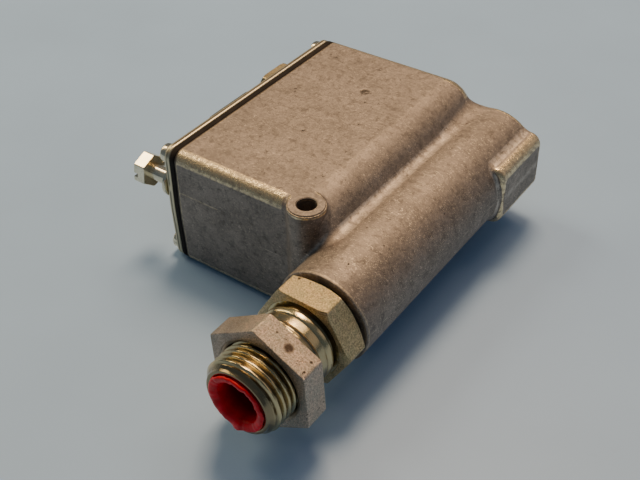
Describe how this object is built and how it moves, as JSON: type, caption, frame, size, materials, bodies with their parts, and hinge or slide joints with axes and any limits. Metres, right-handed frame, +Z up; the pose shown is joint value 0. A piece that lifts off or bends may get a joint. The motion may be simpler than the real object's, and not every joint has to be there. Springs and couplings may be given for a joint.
{
  "type": "pressure switch",
  "caption": "Die-cast pressure switch with a side cover, cable gland and ground screw, and a threaded pressure port with locknut and protective plug",
  "frame": {"origin": "centre of the flat underside of the body's box, on the surface it rests on", "axes": "+Z up; +Y along the barrel from the pressure port towards the adjuster end; -X towards the cover, so the barrel is on the +X side"},
  "size_m": [0.088, 0.1237, 0.0382],
  "materials": {
    "casting": "die-cast body with a warm brownish conversion coat, satin, worn bright at its edges",
    "gasket_rubber": "black sheet gasket, matt",
    "passivated_sheet": "pressed sheet with yellow zinc passivation, satin",
    "passivated_screws": "yellow zinc passivation, satin",
    "brass": "machined brass, satin",
    "seal_rubber": "black moulded rubber, matt",
    "fitting_steel": "turned steel with worn yellow passivation",
    "nut_steel": "turned steel nut, dull passivation",
    "red_plastic": "red moulded plastic, slightly glossy",
    "bright_steel": "plated steel, satin",
    "spring_steel": "oiled spring steel",
    "black_plastic": "black thermoset, matt"
  },
  "bodies": {
    "body": {"housing": "casting", "port_fitting": "fitting_steel", "port_seal": "seal_rubber", "diaphragm": "seal_rubber", "adjuster_bush": "brass", "switch_bracket": "bright_steel", "lever_pin": "bright_steel", "lever_pin_clip": "spring_steel", "microswitch": "black_plastic", "terminal_common": "brass", "terminal_no": "brass", "terminal_nc": "brass", "switch_screw_1": "bright_steel", "switch_screw_2": "bright_steel", "switch_nut_1": "bright_steel", "switch_nut_2": "bright_steel", "bracket_screw_1": "bright_steel", "bracket_screw_2": "bright_steel"},
    "cover": {"cover": "passivated_sheet", "cover_gasket": "gasket_rubber", "cover_screw_1": "passivated_screws", "cover_screw_2": "passivated_screws", "cover_screw_3": "passivated_screws", "cover_screw_4": "passivated_screws", "ground_washer": "passivated_screws", "gland_body": "brass", "gland_seal": "seal_rubber", "gland_locknut": "brass"},
    "ground_screw": {"ground_screw": "passivated_screws"},
    "gland_nut": {"gland_nut": "brass"},
    "bulkhead_locknut": {"bulkhead_locknut": "nut_steel"},
    "protective_plug": {"protective_plug": "red_plastic"},
    "piston": {"piston": "bright_steel", "spring_seat": "bright_steel", "range_spring": "spring_steel"},
    "lever": {"transfer_lever": "bright_steel"},
    "switch_button": {"switch_button": "red_plastic"},
    "adjusting_screw": {"adjusting_screw": "bright_steel"},
    "adjusting_nut": {"adjusting_nut": "brass"},
    "adjuster_cap": {"adjuster_cap": "black_plastic"}
  },
  "joints": [
    {"name": "cover_lift", "type": "slide", "parent": "body", "child": "cover", "axis": [-1, 0, 0], "range_m": [0, 0.03]},
    {"name": "ground_screw_turn", "type": "hinge", "parent": "cover", "child": "ground_screw", "pos_m": [0, -0.0347, 0.0255], "axis": [-1, 0, 0], "continuous": true},
    {"name": "gland_nut_turn", "type": "hinge", "parent": "cover", "child": "gland_nut", "pos_m": [0, 0.0246, 0.01905], "axis": [-1, 0, 0], "continuous": true},
    {"name": "bulkhead_locknut_turn", "type": "hinge", "parent": "body", "child": "bulkhead_locknut", "pos_m": [0.0357, 0, 0.01905], "axis": [0, -1, 0], "continuous": true},
    {"name": "plug_pull", "type": "slide", "parent": "body", "child": "protective_plug", "axis": [0, -1, 0], "range_m": [0, 0.02]},
    {"name": "piston_slide", "type": "slide", "parent": "body", "child": "piston", "axis": [0, 1, 0], "range_m": [0, 0.0012], "stiffness_N_per_m": 2000, "springref_m": -0.002, "deforming": ["range_spring", "diaphragm"]},
    {"name": "lever_pivot", "type": "hinge", "parent": "body", "child": "lever", "pos_m": [-0.008, -0.0235, 0.01905], "axis": [0, 0, 1], "range_deg": [0, 1.8]},
    {"name": "switch_button_slide", "type": "slide", "parent": "body", "child": "switch_button", "axis": [0, 1, 0], "range_m": [0, 0.0005]},
    {"name": "adjusting_screw_turn", "type": "hinge", "parent": "body", "child": "adjusting_screw", "pos_m": [0.0357, 0, 0.01905], "axis": [0, 1, 0], "range_deg": [0, 1440]},
    {"name": "adjusting_nut_slide", "type": "slide", "parent": "body", "child": "adjusting_nut", "axis": [0, -1, 0], "range_m": [0, 0.004], "deforming": ["range_spring"]},
    {"name": "adjuster_cap_pull", "type": "slide", "parent": "body", "child": "adjuster_cap", "axis": [0, 1, 0], "range_m": [0, 0.012]}
  ],
  "couplings": [
    {"joint": "lever_pivot", "follows": "piston_slide", "rad_per_m": 25.641},
    {"joint": "switch_button_slide", "follows": "piston_slide", "ratio": 0.41026},
    {"joint": "adjusting_screw_turn", "follows": "adjusting_nut_slide", "rad_per_m": 6283.2}
  ]
}
